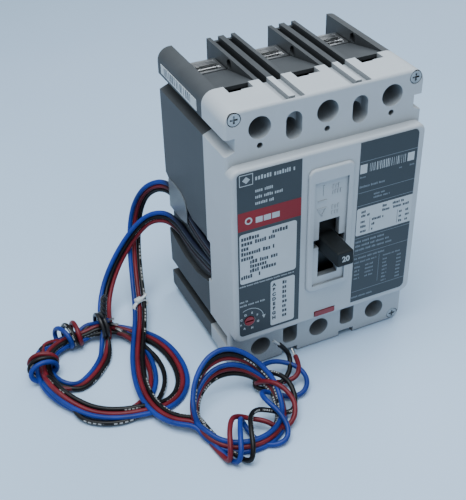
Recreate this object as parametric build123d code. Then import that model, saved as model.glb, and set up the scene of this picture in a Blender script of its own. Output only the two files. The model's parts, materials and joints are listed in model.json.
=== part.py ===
from build123d import *
import math
import os

# Three-pole moulded-case motor circuit protector standing on its load end, with two bundles of switch leads.
# Millimetres. +Z points to the line end, -Y out of the front, origin under the middle of the case at its foot.
# Depths are measured forward from the back face, so a larger depth is nearer the front.

# ---- driving dimensions ----
POLE_PITCH = 34.925
WIDTH = 104.775
HEIGHT = 152.4
SEAM = 55.0              # depth where the base meets the cover
TIER = 80.0              # face of the two end tiers of the cover
FACE = 85.7              # face of the raised middle section
OVERALL_DEPTH = 103.0    # out to the tip of the handle
CORNER = 6.5
RAISED_Z = (23.8, 125.8)
RAISED_CORNER = 4.5
BAY_HALF = 13.2          # half width of the space inside each pole
BAY_Z = (27.0, 124.0)
CHAMBER_HALF = 9.5       # half width of a terminal chamber
ACCESS_RADIUS = 5.7
LINE_HOLE_Z = 141.8
LOAD_HOLE_Z = 12.0
MOUNT_Z = (14.0, 135.9)
MOUNT_RADIUS = 2.3
TROUGH_DEEP = 3.0        # how far the lead trough is sunk into the left side
SCREW_PLACES = [(side * 47.5, z) for side in (-1, 1) for z in (4.2, 148.4)]
LABEL_THICKNESS = 0.25
KNOB_X, KNOB_Z = -44.0, 37.2
BUTTON_X, BUTTON_Z = -0.4, 27.4

# terminals: the load end is the line end turned over
LOAD_MIRROR_Z = (LINE_HOLE_Z + LOAD_HOLE_Z) / 2
LUG_DEPTH = (10.5, 24.5)
LUG_Z = (131.5, 146.0)
LUG_WALL = 1.4
STRAP_DEPTH = (20.4, 22.6)
STRAP_TOP = 144.5
CONTACT_DEPTH = (9.0, 11.5)
TERMINAL_SCREW_Z = LINE_HOLE_Z - 2.2

BACK_Y = OVERALL_DEPTH / 2
HALF_WIDTH = WIDTH / 2
POLES = (-POLE_PITCH, 0.0, POLE_PITCH)
PARTITIONS = (-POLE_PITCH / 2, POLE_PITCH / 2)

# handle and mechanism pivots, as (depth, height)
HANDLE_PIVOT = (44.0, 69.0)
CROSSBAR_PIVOT = (24.0, 56.0)
LINK_PIVOT = (61.9, 83.9)
LEVER_PIN_CLOSED = (31.9, 66.8)
TRIP_PIVOT = (41.0, 54.0)
LATCH_PIVOT = (52.0, 50.0)
ARMATURE_PIVOT = (35.8, 29.2)
CORE_Z = 34.6
AUX_PIVOT = (55.0, 94.0)
HANDLE_REST_DEG = 3.5
ARM_OPEN_DEG = 10.8
LINK_LENGTH = 18.2
LINK_REST_DEG = 45.7
KNEE_CLEARANCE = 0.9     # the knee is the open pivot of the toggle linkage
PIN_RADIUS = 1.2
CROSSBAR_RADIUS = 6.0
TRIP_RADIUS = 2.4
SPACER_PIN = (62.0, 55.5)
SHUTTER_RADIUS = (37.2, 38.4)
HANDLE_TIP = 102.93

# leads
LEAD_DIAMETER = 2.4
LEAD_STEP = 2.7
FRONT_COIL_AT = (-62.5, 111.5)   # x and depth of its centre
FRONT_COIL_RADIUS = 21.5
FRONT_COIL_SECTION = 5.5
FRONT_COIL_TILT = 18.0           # its far side is propped up by the case
SIDE_COIL_AT = (-110.5, 53.0)
SIDE_COIL_HALF = (37.5, 38.5)
SIDE_COIL_HEIGHT = 9.0
SIDE_COIL_EYE = (-120.0, 41.0)
SIDE_COIL_EYE_RADIUS = 11.0
WHITE_TIE_AT = (-79.6, 17.4, 10.3)
BLACK_TIE_AT = (-106.4, 22.4, 5.8)


# ---- shapes placed by x, depth and height ----
def y_at(depth):
    return BACK_Y - depth


def middle(span):
    return (span[0] + span[1]) / 2


def block(x, depth, z):
    size = Box(x[1] - x[0], depth[1] - depth[0], z[1] - z[0])
    return Pos(middle(x), y_at(middle(depth)), middle(z)) * size


def around(centre, half):
    return (centre - half, centre + half)


def rod_x(radius, x, depth, z):
    return Pos(middle(x), y_at(depth), z) * Rot(0, 90, 0) * Cylinder(radius, x[1] - x[0])


def rod_y(radius, x, depth, z):
    return Pos(x, y_at(middle(depth)), z) * Rot(90, 0, 0) * Cylinder(radius, depth[1] - depth[0])


def plate(outline, x):
    """A flat plate across X whose outline is a list of (depth, height) corners."""
    wire = Polyline([(x[0], y_at(d), z) for d, z in outline], close=True)
    return extrude(make_face(wire), amount=x[1] - x[0], dir=(1, 0, 0))


def prism(sketch, depth):
    """A sketch drawn in x and z, carried forward from one depth to another."""
    plane = Plane.XZ.offset(depth[0] - BACK_Y)
    return extrude(plane * sketch, amount=depth[1] - depth[0])


def link(start, end, radius, x):
    """A flat link with round ends about two (depth, height) points."""
    run = math.hypot(end[0] - start[0], end[1] - start[1])
    lean = math.degrees(math.atan2(end[1] - start[1], end[0] - start[0]))
    bar = Box(x[1] - x[0], run, 2 * radius)
    bar = Pos(middle(x), y_at(middle((start[0], end[0]))), middle((start[1], end[1]))) * Rot(-lean, 0, 0) * bar
    return bar + rod_x(radius, x, *start) + rod_x(radius, x, *end)


def turned(shape, pivot, degrees_up):
    """Turned about a (depth, height) pivot so that what is in front of it goes up."""
    axis = Axis((0, y_at(pivot[0]), pivot[1]), (-1, 0, 0))
    return shape.rotate(axis, degrees_up)


def both_sides(x):
    return (x, (-x[1], -x[0]))


def group(shapes):
    """Separate solids kept in one node."""
    return Compound(children=[solid for shape in shapes for solid in shape.solids()])


def outline_rounded():
    return Pos(0, HEIGHT / 2) * RectangleRounded(WIDTH, HEIGHT, CORNER)


# ---- mouldings ----
UPPER_CHANNEL = [(0, 130.0), (-5, 132.6), (-5, 139.2), (0, 139.2)]
LOWER_CHANNEL = [(0, 15.0), (-4, 15.0), (-4, 22.5), (0, 22.5)]


def side_channels(depth):
    """The two grooves that run front to back along each side, cut outwards past the wall."""
    cuts = []
    for outline in (UPPER_CHANNEL, LOWER_CHANNEL):
        for side in (-1, 1):
            corners = [(side * (HALF_WIDTH + dx), z) for dx, z in outline]
            corners[0] = (side * (HALF_WIDTH + 1), corners[0][1])
            corners[-1] = (side * (HALF_WIDTH + 1), corners[-1][1])
            cuts.append(prism(make_face(Polyline(corners, close=True)), depth))
    return cuts


def barrier_grooves(depth, z):
    """The slots each side of the middle rib of a barrier, between two poles."""
    cuts = []
    for centre in PARTITIONS:
        for side in (-1, 1):
            cuts.append(block(around(centre + side * 3.65, 2.1), depth, z))
    return cuts


def shelf(x, z_back, z_front, thickness, flip):
    """The sloping shelf that roofs the front of a terminal chamber."""
    top = [(24.8, z_back), (SEAM, z_front)]
    under = [(SEAM, z_front - flip * 2.0), (24.8, z_back - flip * thickness)]
    return plate(top + under, x)


def lead_trough():
    """The shallow trough in the left side in which the leads run to the back edge."""
    outline = [(-1, 45), (10, 41), (22, 38.5), (38, 38.5), (SEAM + 1, 44),
               (SEAM + 1, 72), (36, 71.5), (29, 74), (24, 79), (-1, 79)]
    return plate(outline, (-HALF_WIDTH - 1, -HALF_WIDTH + TROUGH_DEEP))


def make_base():
    body = prism(outline_rounded(), (0, SEAM))
    cuts = []
    for pole in POLES:
        chamber = around(pole, CHAMBER_HALF)
        cuts.append(block(around(pole, BAY_HALF), (3.5, SEAM + 1), BAY_Z))
        cuts.append(block(chamber, (-1, SEAM + 1), (128, HEIGHT + 1)))
        cuts.append(block(chamber, (-1, SEAM + 1), (-1, 23)))
        cuts.append(block(around(pole, 6.2), (20.2, 22.8), (123, 129)))
        cuts.append(block(around(pole, 6.2), (20.2, 22.8), (22, 28)))
        cuts.append(rod_x(2.6, (chamber[1] - 0.4, chamber[1] + 1.5), 27.3, 149))
    for z in MOUNT_Z:
        for x in PARTITIONS:
            cuts.append(rod_y(MOUNT_RADIUS, x, (-1, SEAM + 1), z))
    cuts += barrier_grooves((2, SEAM + 1), (140, HEIGHT + 1))
    cuts += barrier_grooves((-1, 3), (150.4, HEIGHT + 1))
    cuts += barrier_grooves((2, SEAM + 1), (-1, 9.5))
    cuts += side_channels((-1, SEAM + 1))
    cuts.append(lead_trough())
    # room for the button's plunger and the trip bar's finger
    cuts.append(block(around(BUTTON_X, 3.6), (34, SEAM + 1), (24.6, 28)))
    # the back edge is relieved above the trough
    cuts.append(plate([(-1, 82), (5.5, 78.5), (-1, 78.5)], (-HALF_WIDTH - 1, -HALF_WIDTH + TROUGH_DEEP)))
    # the crossbar and the trip bar drop in from the front
    slot = CROSSBAR_RADIUS + 0.4
    cuts.append(rod_x(slot, (-30, 30), *CROSSBAR_PIVOT))
    cuts.append(block((-30, 30), (CROSSBAR_PIVOT[0], SEAM + 1), around(CROSSBAR_PIVOT[1], slot)))
    for x, z in SCREW_PLACES:
        cuts.append(rod_y(1.3, x, (38, SEAM + 1), z))
    for cut in cuts:
        body -= cut
    for pole in POLES:
        body += shelf(around(pole, CHAMBER_HALF), 145.5, 151.9, 1.0, 1)
        body += shelf(around(pole, CHAMBER_HALF), 6.9, 0.5, 1.0, -1)
    return body


def front_edges(shape, depth):
    """The edges of a moulding that lie in the plane of its front face."""
    y = y_at(depth)
    return shape.edges().filter_by_position(Axis.Y, y - 0.01, y + 0.01)


def make_cover():
    tiers = prism(outline_rounded(), (SEAM, TIER))
    tiers = fillet(front_edges(tiers, TIER), 1.6)
    raised_outline = RectangleRounded(WIDTH, RAISED_Z[1] - RAISED_Z[0], RAISED_CORNER)
    raised = prism(Pos(0, middle(RAISED_Z)) * raised_outline, (TIER - 10, FACE))
    raised = fillet(front_edges(raised, FACE), 1.7)
    body = tiers + raised
    boss = prism(Pos(0, 80.25) * RectangleRounded(25, 72.5, 3.6), (FACE - 1, FACE + 1.5))
    boss = fillet(front_edges(boss, FACE + 1.5), 1.2)
    body += boss
    cuts = []
    for pole in POLES:
        cuts.append(block(around(pole, BAY_HALF), (SEAM - 1, 82.7), (BAY_Z[0], 121)))
        for z in (LINE_HOLE_Z, LOAD_HOLE_Z):
            cuts.append(rod_y(ACCESS_RADIUS, pole, (SEAM - 1, TIER + 1), z))
        cuts.append(rod_y(1.5, pole, (76, TIER + 1), 132.8))
        cuts.append(block(around(pole, 6.3), (SEAM - 1, 61), (145.8, HEIGHT + 1)))
        cuts.append(block((pole - 6.3, pole), (60, 61.8), (149.5, HEIGHT + 1)))
    for x in PARTITIONS:
        slot = Pos(x, 138.7) * SlotOverall(14.2, 8.4, rotation=90)
        cuts.append(prism(slot, (74, TIER + 1)))
        cuts.append(rod_y(4.2, x, (66, 75), MOUNT_Z[1]))
        cuts.append(rod_y(MOUNT_RADIUS, x, (SEAM - 1, 67), MOUNT_Z[1]))
        recess = fillet((Pos(x, 13.6) * Rectangle(8.5, 11)).vertices().group_by(Axis.Y)[0], 2.8)
        cuts.append(prism(recess, (70, TIER + 4)))
        cuts.append(rod_y(MOUNT_RADIUS, x, (SEAM - 1, 71), MOUNT_Z[0]))
        cuts.append(block(around(x, 4.55), (SEAM - 1, TIER + 1), (-1, 4.0)))
        cuts.append(block(around(x, 5.75), (77.4, 79.2), (149.9, HEIGHT + 1)))
    cuts += barrier_grooves((SEAM - 1, 77.6), (149.9, HEIGHT + 1))
    cuts += side_channels((SEAM - 1, TIER + 1))[:2]
    cuts += side_channels((SEAM - 1, 76))[2:]
    for x, z in SCREW_PLACES:
        cuts.append(rod_y(3.45, x, (78.4, TIER + 1), z))
        cuts.append(rod_y(1.8, x, (SEAM - 1, TIER), z))
    # handle opening: a shallow dish, a slot and two small ears for a lock-off bracket
    cuts.append(block((-9.3, 9.3), (FACE + 0.3, FACE + 3), (47.5, 109)))
    cuts.append(block((-5.7, 5.7), (80, FACE + 3), (52.2, 85.8)))
    cuts.append(block((-8.9, 8.9), (80, FACE + 3), (70.6, 75.2)))
    # trip-adjusting knob, push-to-trip button and the bar behind them
    cuts.append(rod_y(3.1, KNOB_X, (80, FACE + 1), KNOB_Z))
    cuts.append(block(around(BUTTON_X, 6.2), (80, FACE + 1), around(BUTTON_Z, 1.75)))
    cuts.append(block((-8, 8), (SEAM - 1, 82.7), (24.8, 30)))
    cuts.append(block((-30, 30), (SEAM - 1, 66), (38.2, 46)))
    # window through which the leads come out into the trough
    cuts.append(block((-HALF_WIDTH - 1, -47), (SEAM - 1, 58.6), (46, 71)))
    for cut in cuts:
        body -= cut
    return body


def label(x, z, radius, side):
    """A film label whose outer corners are rounded: side is 0 for the left ones, 1 for the right ones."""
    outline = Pos(middle(x), middle(z)) * Rectangle(x[1] - x[0], z[1] - z[0])
    corners = outline.vertices().group_by(Axis.X)[-side]
    return prism(fillet(corners, radius), (FACE, FACE + LABEL_THICKNESS))


def make_labels():
    left = label((-49.5, -16.0), (28.2, 124.0), 2.0, 0)
    left -= rod_y(3.3, KNOB_X, (FACE - 1, FACE + 1), KNOB_Z)
    right = label((15.6, 48.4), (27.6, 124.0), 2.8, 1)
    side_outline = [(4.6, 150.0), (47, 150.0), (49, 148.5), (49.5, 140.3), (45, 140.3), (4.6, 141.0)]
    side = plate([(d, min(z, HEIGHT - CORNER)) for d, z in side_outline],
                 (-HALF_WIDTH - LABEL_THICKNESS, -HALF_WIDTH))
    return {"nameplate_left": left, "nameplate_right": right, "side_label": side}


def make_lead_strip():
    """Thin strip that keeps the upper leads in the trough, proud of the side."""
    strip = [(4.5, 62.0), (4.5, 79.5), (12, 80.5), (21, 80.0), (27, 77.5), (29, 72), (28.6, 64.5), (20, 62.5)]
    return plate(strip, (-HALF_WIDTH - 0.5, -HALF_WIDTH))


def make_cover_screws():
    screws = []
    for x, z in SCREW_PLACES:
        head = rod_y(3.0, x, (78.4, 79.8), z)
        for slot in ((0.45, 1.9), (1.9, 0.45)):
            head -= block(around(x, slot[0]), (78.9, 80), around(z, slot[1]))
        screws.append(head + rod_y(1.75, x, (SEAM, 78.4), z) + rod_y(1.25, x, (42, SEAM), z))
    return group(screws)


# ---- terminals ----
def mirror_ends(shapes):
    """The same pieces at the load end, turned over."""
    return [shape.mirror(Plane.XY.offset(LOAD_MIRROR_Z)) for shape in shapes]


def make_lug(pole):
    shell = block(around(pole, 9.0), LUG_DEPTH, LUG_Z)
    shell -= block(around(pole, 7.6), (LUG_DEPTH[0] + LUG_WALL, LUG_DEPTH[1] - LUG_WALL), (130, 148))
    return shell - rod_y(2.95, pole, (22, 26), TERMINAL_SCREW_Z)


def make_jaw(pole):
    jaw = block(around(pole, 7.5), (LUG_DEPTH[0] + LUG_WALL, 15.6), (132.0, 145.6))
    for step in range(6):
        z = 133.5 + 2.1 * step
        jaw -= plate([(15.7, z - 0.6), (14.9, z), (15.7, z + 0.6)], around(pole, 8))
    for step in range(2):
        jaw -= block(around(pole, 8), (12.6 + 1.5 * step, 13.1 + 1.5 * step), (145.0, 146))
    return jaw


def make_terminal_screw(pole):
    shank = rod_y(2.9, pole, (STRAP_DEPTH[1], 47), TERMINAL_SCREW_Z)
    head = rod_y(4.3, pole, (47, 52.5), TERMINAL_SCREW_Z)
    return shank + head - block(around(pole, 5), (51.2, 53), around(TERMINAL_SCREW_Z, 0.6))


def make_line_conductor(pole):
    rear, front = STRAP_DEPTH
    seat, face = CONTACT_DEPTH
    outline = [(rear, STRAP_TOP), (rear, 121.8), (seat, 121.8), (seat, 98.0), (face, 98.0),
               (face, 119.6), (front, 119.6), (front, STRAP_TOP)]
    return plate(outline, around(pole, 6.0))


def make_load_conductor(pole):
    return block(around(pole, 6.0), STRAP_DEPTH, (2 * LOAD_MIRROR_Z - STRAP_TOP, BAY_Z[0]))


# ---- poles ----
def arm_outline():
    return [(20.0, 46.5), (28.0, 46.5), (31.5, 56.0), (30.0, 80.0), (24.5, 102.0), (24.0, 109.5), (19.0, 109.5),
            (19.0, 101.0), (22.0, 80.0), (16.5, 56.0)]


def opened(shape):
    """Turned from the closed position to where the crossbar rests."""
    return turned(shape, CROSSBAR_PIVOT, -ARM_OPEN_DEG)


def make_arm(pole):
    arm = plate(arm_outline(), around(pole, 3.0)) + rod_x(3.2, around(pole, 3.0), *LEVER_PIN_CLOSED)
    arm -= rod_x(1.22, around(pole, 4.0), *LEVER_PIN_CLOSED)
    return opened(arm - rod_x(CROSSBAR_RADIUS + 0.05, around(pole, 4.0), *CROSSBAR_PIVOT))


def make_moving_contact(pole):
    return opened(block(around(pole, 2.8), (16.6, 19.0), (102.5, 109.0)))


def make_fixed_contact(pole):
    return block(around(pole, 3.4), (11.5, 16.2), (102.0, 109.5))


def make_crossbar():
    bar = rod_x(CROSSBAR_RADIUS, (-47.4, 47.4), *CROSSBAR_PIVOT)
    for side in (-1, 1):
        bar -= block(around(side * POLE_PITCH / 2, 3.4), (17, 20.5), (48, 64))
    return opened(bar)


def make_lever_pin():
    return opened(rod_x(PIN_RADIUS, (-4.9, 4.9), *LEVER_PIN_CLOSED))


def make_shunt(pole):
    """Braided shunt in a shallow bow from the coil's head to just under the arm's heel."""
    path = FilletPolyline([(pole, y_at(12.0), 44.4), (pole, y_at(16.5), 41.8), (pole, y_at(22.0), 43.6)], radius=5)
    section = Plane(origin=path @ 0, z_dir=path % 0, x_dir=(1, 0, 0)) * Rectangle(6, 1.4)
    return sweep(section, path=path)


def make_chute_walls(pole):
    return [block((pole + s * 11.3 - 0.7, pole + s * 11.3 + 0.7), (13.0, 51.0), (94.0, 118.5)) for s in (-1, 1)]


def make_chute_plates(pole):
    plates = []
    for step in range(8):
        depth = 19.0 + 4.1 * step
        leaf = block(around(pole, 10.6), (depth, depth + 1.2), (94.5, 118.5))
        leaf -= block(around(pole, 4.3), (depth - 1, depth + 2), (94, 112.5))
        plates.append(leaf)
    return plates


def make_magnet_frame(pole):
    frame = block(around(pole, 10.4), (5.0, 7.0), (27.0, 40.4))
    for side in (-1, 1):
        frame += plate([(5.0, 27.0), (33.0, 27.0), (33.0, 32.0), (5.0, 40.4)], around(pole + side * 9.8, 0.6))
    return frame


def make_core(pole):
    return rod_y(3.0, pole, (7.0, 33.6), CORE_Z)


def make_coil(pole):
    coil = rod_y(6.6, pole, (8.0, 32.0), CORE_Z)
    for step in range(7):
        groove = (10.4 + 3.1 * step, 10.8 + 3.1 * step)
        coil -= rod_y(8.0, pole, groove, CORE_Z) - rod_y(6.2, pole, groove, CORE_Z)
    return coil - rod_y(3.05, pole, (7.0, 33.0), CORE_Z)


def make_armature(pole):
    leaf = block(around(pole, 8.0), (35.0, 36.6), (ARMATURE_PIVOT[1], 46.0))
    leaf += rod_x(1.7, around(pole, 8.0), *ARMATURE_PIVOT)
    return leaf - rod_x(0.95, around(pole, 9.0), *ARMATURE_PIVOT)


def make_armature_pin(pole):
    pin = rod_x(0.9, around(pole, 9.2), *ARMATURE_PIVOT)
    for side in (-1, 1):
        pin += block(around(pole + side * 9.8, 0.6), (33.0, 38.0), (27.0, 31.6))
    return pin


# ---- mechanism ----
def make_handle():
    """The toggle with its curved shutter, laid level and then lifted to where it rests."""
    pivot_depth, pivot_z = HANDLE_PIVOT
    grip_root = 78.0
    root_plane = Plane.XZ.offset(grip_root - BACK_Y)
    grip = extrude(root_plane * Pos(0, pivot_z) * RectangleRounded(10.4, 9.4, 1.6), amount=HANDLE_TIP - grip_root,
                   taper=1.4)
    grip = fillet(front_edges(grip, HANDLE_TIP), 0.9)
    hub = block((-5.2, 5.2), (73.6, 80.0), around(pivot_z, 5.2))
    inner, outer = SHUTTER_RADIUS
    shutter = rod_x(outer, (-9.3, 9.3), *HANDLE_PIVOT) - rod_x(inner, (-10, 10), *HANDLE_PIVOT)
    reach = 45.0
    spread = reach * math.tan(math.radians(38.0))
    sector = plate([(pivot_depth, pivot_z), (pivot_depth + reach, pivot_z + spread),
                    (pivot_depth + reach, pivot_z - spread)], (-10, 10))
    return turned(hub + (shutter & sector) + grip, HANDLE_PIVOT, HANDLE_REST_DEG)


def make_yoke():
    top = block((-9.2, 9.2), (72.0, 73.6), around(HANDLE_PIVOT[1], 6.0))
    for x in both_sides((7.6, 9.2)):
        arm = link(HANDLE_PIVOT, (70.0, HANDLE_PIVOT[1]), 4.6, x)
        arm -= block((-10, 10), (72.0, 80.0), (50, 90))
        top += arm - rod_x(2.56, (x[0] - 1, x[1] + 1), *HANDLE_PIVOT)
    return turned(top, HANDLE_PIVOT, HANDLE_REST_DEG)


def make_springs():
    springs = []
    for x in (-2.4, 2.4):
        coil = rod_y(1.1, x, (57.0, 72.0), HANDLE_PIVOT[1] + 0.4)
        for step in range(9):
            depth = 58.6 + 1.45 * step
            ring = rod_y(2.0, x, (depth, depth + 0.5), HANDLE_PIVOT[1] + 0.4)
            coil -= ring - rod_y(0.9, x, (depth - 1, depth + 1), HANDLE_PIVOT[1] + 0.4)
        springs.append(turned(coil, HANDLE_PIVOT, HANDLE_REST_DEG))
    return group(springs)


def make_side_frames():
    outline = [(3.5, 43.0), (3.5, 66.0), (18.0, 91.0), (66.0, 91.0), (71.0, 76.0), (71.0, 60.0), (56.0, 44.0)]
    frames = []
    for x in both_sides((9.8, 11.4)):
        frame = plate(outline, x)
        wide = (x[0] - 1, x[1] + 1)
        frame -= rod_x(CROSSBAR_RADIUS + 0.06, wide, *CROSSBAR_PIVOT)
        frame -= rod_x(TRIP_RADIUS + 0.06, wide, *TRIP_PIVOT)
        stud = (7.3, 9.8) if x[0] > 0 else (-9.8, -7.3)
        frames.append(frame + rod_x(2.5, stud, *HANDLE_PIVOT))
    return group(frames)


def make_mechanism_pins():
    return group([rod_x(1.6, (-9.8, 9.8), *LINK_PIVOT), rod_x(PIN_RADIUS, (-9.8, 9.8), *LATCH_PIVOT),
                  rod_x(PIN_RADIUS, (-9.8, 9.8), *SPACER_PIN)])


def knee():
    lean = math.radians(LINK_REST_DEG)
    return (LINK_PIVOT[0] - LINK_LENGTH * math.cos(lean), LINK_PIVOT[1] - LINK_LENGTH * math.sin(lean))


def make_upper_links():
    links = []
    for x in both_sides((5.3, 6.5)):
        bar = link(LINK_PIVOT, knee(), 3.0, x)
        links.append(bar - rod_x(1.66, (x[0] - 1, x[1] + 1), *LINK_PIVOT))
    return links[0] + rod_x(PIN_RADIUS, (-6.5, 6.5), *knee()) + links[1]


def rest_lever_pin():
    """Where the crossbar's lever pin sits at rest, as (depth, height)."""
    turn = math.radians(ARM_OPEN_DEG)
    dx = LEVER_PIN_CLOSED[0] - CROSSBAR_PIVOT[0]
    dz = LEVER_PIN_CLOSED[1] - CROSSBAR_PIVOT[1]
    depth = CROSSBAR_PIVOT[0] + dx * math.cos(turn) + dz * math.sin(turn)
    return (depth, CROSSBAR_PIVOT[1] + dz * math.cos(turn) - dx * math.sin(turn))


def make_lower_links():
    links = []
    for x in both_sides((3.6, 4.8)):
        wide = (x[0] - 1, x[1] + 1)
        bar = link(rest_lever_pin(), knee(), 2.6, x) + rod_x(3.6, x, *knee())
        links.append(bar - rod_x(1.26, wide, *rest_lever_pin()) - rod_x(1.2 + KNEE_CLEARANCE, wide, *knee()))
    return group(links)


def make_cradle():
    outline = [(60.0, 87.0), (64.4, 87.0), (65.4, 82.0), (64.0, 64.6), (60.2, 64.6), (59.0, 80.0)]
    return plate(outline, (-0.9, 0.9)) - rod_x(1.66, (-2, 2), *LINK_PIVOT)


def make_latch():
    lever = link(LATCH_PIVOT, (56.6, 60.2), 2.2, (-1.4, 1.4)) + rod_x(3.0, (-1.4, 1.4), *LATCH_PIVOT)
    lever += link(LATCH_PIVOT, (47.0, 51.5), 1.2, (-1.4, 1.4))
    return lever - rod_x(1.26, (-2, 2), *LATCH_PIVOT)


def make_trip_bar():
    bar = rod_x(TRIP_RADIUS, (-46.0, 46.0), *TRIP_PIVOT)
    for pole in POLES:
        bar += block(around(pole, 2.6), (32.6, 40.0), (53.2, 55.2))
        bar += block(around(pole, 2.6), (32.6, 34.0), (44.0, 55.2))
    bar += block(around(BUTTON_X, 2.4), (40.0, 42.2), (25.4, 54.0))
    return bar


def make_button():
    head = block(around(BUTTON_X, 6.0), (82.0, FACE + 0.5), around(BUTTON_Z, 1.55))
    head = fillet(head.edges().filter_by(Axis.Y), 0.9)
    plunger = rod_y(1.5, BUTTON_X, (42.6, 82.0), BUTTON_Z)
    return head + plunger


def make_button_spring():
    tube = rod_y(2.5, BUTTON_X, (60.0, 78.6), BUTTON_Z) - rod_y(1.8, BUTTON_X, (59.0, 80.0), BUTTON_Z)
    return tube


def make_knob():
    knob = rod_y(2.7, KNOB_X, (82.0, FACE + 0.4), KNOB_Z) + rod_y(1.2, KNOB_X, (58.5, 82.0), KNOB_Z)
    return knob - block(around(KNOB_X, 2.2), (FACE - 0.6, FACE + 1), around(KNOB_Z, 0.45))


def make_adjust_bar():
    bar = block((-44.0, 42.0), (59.0, 63.5), (39.0, 44.6))
    for pole in POLES:
        cam = plate([(59.0, 40.5), (56.4, 41.6), (59.0, 43.8)], around(pole + 3.0, 2.5))
        bar += cam
    return bar


def make_aux_switches():
    cases = []
    for x in ((-46.0, -35.6), (-34.6, -24.2)):
        case = block(x, (58.4, 80.0), (58.0, 97.0))
        case -= block((x[0] + 2, x[1] - 2), (57.4, 59.6), (64.0, 70.0))
        cases.append(case)
    pin = rod_x(0.8, (-46.0, -24.2), *AUX_PIVOT)
    for x in ((-46.0, -44.8), (-25.4, -24.2)):
        pin += block(x, (53.6, 58.4), (92.4, 96.0))
    return group(cases + [pin])


def make_aux_lever():
    lever = block((-44.4, -25.8), (54.4, 55.6), (66.0, 93.4))
    lever += rod_x(1.6, (-44.4, -25.8), *AUX_PIVOT)
    return lever - rod_x(0.85, (-45, -25), *AUX_PIVOT)


# ---- leads ----
# Each bundle is the route of its middle lead, as (x, depth, height), and the step from it to each outer lead.
BUNDLE_FRONT = [
    ((-50.7, 57.0, 62.0), (0, 0, 1)), ((-50.7, 46.0, 62.3), (0, 0, 1)), ((-50.8, 34.0, 64.2), (0, 0, 1)),
    ((-50.8, 22.0, 67.6), (0, 0, 1)), ((-50.9, 11.0, 70.2), (0, 0, 1)), ((-51.0, 2.4, 71.4), (0, 0, 1)),
    ((-54.6, -5.4, 70.6), (-0.2, 0, 1)), ((-59.8, -12.0, 65.4), (-0.6, 0, 0.85)),
    ((-64.0, -16.4, 56.2), (-0.95, 0, 0.35)), ((-67.4, -16.6, 45.4), (-1, 0, 0.2)),
    ((-70.4, -12.6, 34.6), (-1, 0, 0.2)), ((-73.2, -5.6, 25.0), (-1, 0, 0.2)), ((-76.0, 3.6, 17.2), (-1, 0, 0.1)),
    ((-78.9, 14.0, 11.6), (-1, -0.2, 0)), ((-82.8, 25.0, 7.8), (-0.9, -0.4, 0)),
    ((-87.8, 36.0, 5.4), (-0.9, -0.4, 0)), ((-92.8, 47.0, 4.4), (-0.93, -0.36, 0)),
    ((-96.8, 58.6, 4.2), (-0.96, -0.25, 0)), ((-99.6, 70.6, 4.4), (-1, 0, 0)),
    ((-100.4, 82.4, 4.2), (-1, 0.1, 0)), ((-98.6, 93.4, 4.4), (-0.9, 0.42, 0)), ((-93.4, 102.8, 4.8), (-0.7, 0.7, 0)),
    ((-84.8, 109.2, 5.8), (-0.45, 0.9, 0)),
]
BUNDLE_SIDE = [
    ((-50.7, 57.0, 53.0), (0, 0, 1)), ((-50.7, 46.0, 51.4), (0, 0, 1)), ((-50.8, 34.0, 50.2), (0, 0, 1)),
    ((-50.8, 22.0, 50.6), (0, 0, 1)), ((-51.0, 10.4, 51.8), (0, 0, 1)), ((-54.2, 0.0, 52.8), (0, 0, 1)),
    ((-61.4, -6.6, 50.2), (-0.2, 0, 0.98)), ((-69.0, -8.4, 43.8), (-0.5, 0, 0.87)),
    ((-76.8, -7.8, 35.6), (-0.65, 0, 0.76)), ((-84.8, -5.4, 26.6), (-0.7, 0, 0.7)),
    ((-91.6, -1.2, 17.6), (-0.8, -0.2, 0.5)), ((-97.0, 6.0, 11.0), (-1, 0, 0.2)), ((-100.4, 15.6, 8.0), (-1, 0, 0)),
]
BUNDLE_LEADS = {
    "lead_front": (BUNDLE_FRONT, {"blue": 1, "red": 0, "black": -1}),
    "lead_side": (BUNDLE_SIDE, {"blue": 1, "black": 0, "red": -1}),
}


def lead_route(bundle, place):
    route = []
    for (x, depth, z), (sx, sd, sz) in bundle:
        step = place * LEAD_STEP
        route.append(Vector(x + step * sx, y_at(depth + step * sd), z + step * sz))
    return route


def bend_radii(route):
    """The largest tangent arc at each corner: 0.45 of the shorter run over the tangent of half the turn."""
    radii = []
    for before, corner, after in zip(route, route[1:], route[2:]):
        run_in, run_out = corner - before, after - corner
        half_turn = math.radians(run_in.get_angle(run_out)) / 2
        radii.append(0.45 * min(run_in.length, run_out.length) / math.tan(half_turn))
    return radii


def make_lead(route):
    radii = bend_radii(route)
    path = FilletPolyline(route, radius=radii)
    section = Plane(origin=path @ 0, z_dir=path % 0) * Circle(LEAD_DIAMETER / 2)
    tube = sweep(section, path=path)
    expected = math.pi * (LEAD_DIAMETER / 2) ** 2 * path.length
    print(f"lead length {path.length:.1f}, tightest bend {min(radii):.1f}, volume ratio {tube.volume / expected:.4f}")
    return tube


def make_front_coil():
    """The round coil in front, its near side on the ground and its far side up against the case."""
    x, depth = FRONT_COIL_AT
    rise = FRONT_COIL_RADIUS * math.sin(math.radians(FRONT_COIL_TILT)) + FRONT_COIL_SECTION + 0.3
    return Pos(x, y_at(depth), rise) * Rot(FRONT_COIL_TILT, 0, 0) * Torus(FRONT_COIL_RADIUS, FRONT_COIL_SECTION)


def make_side_coil():
    """The flat loose coil at the side, tight round its eye and fanned out towards the front."""
    x, depth = SIDE_COIL_AT
    eye_x, eye_depth = SIDE_COIL_EYE
    outline = Pos(x, y_at(depth)) * Ellipse(*SIDE_COIL_HALF)
    coil = extrude(outline - Pos(eye_x, y_at(eye_depth)) * Circle(SIDE_COIL_EYE_RADIUS), amount=SIDE_COIL_HEIGHT)
    return Pos(0, 0, 0.3) * fillet(coil.edges(), 2.0)


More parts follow.
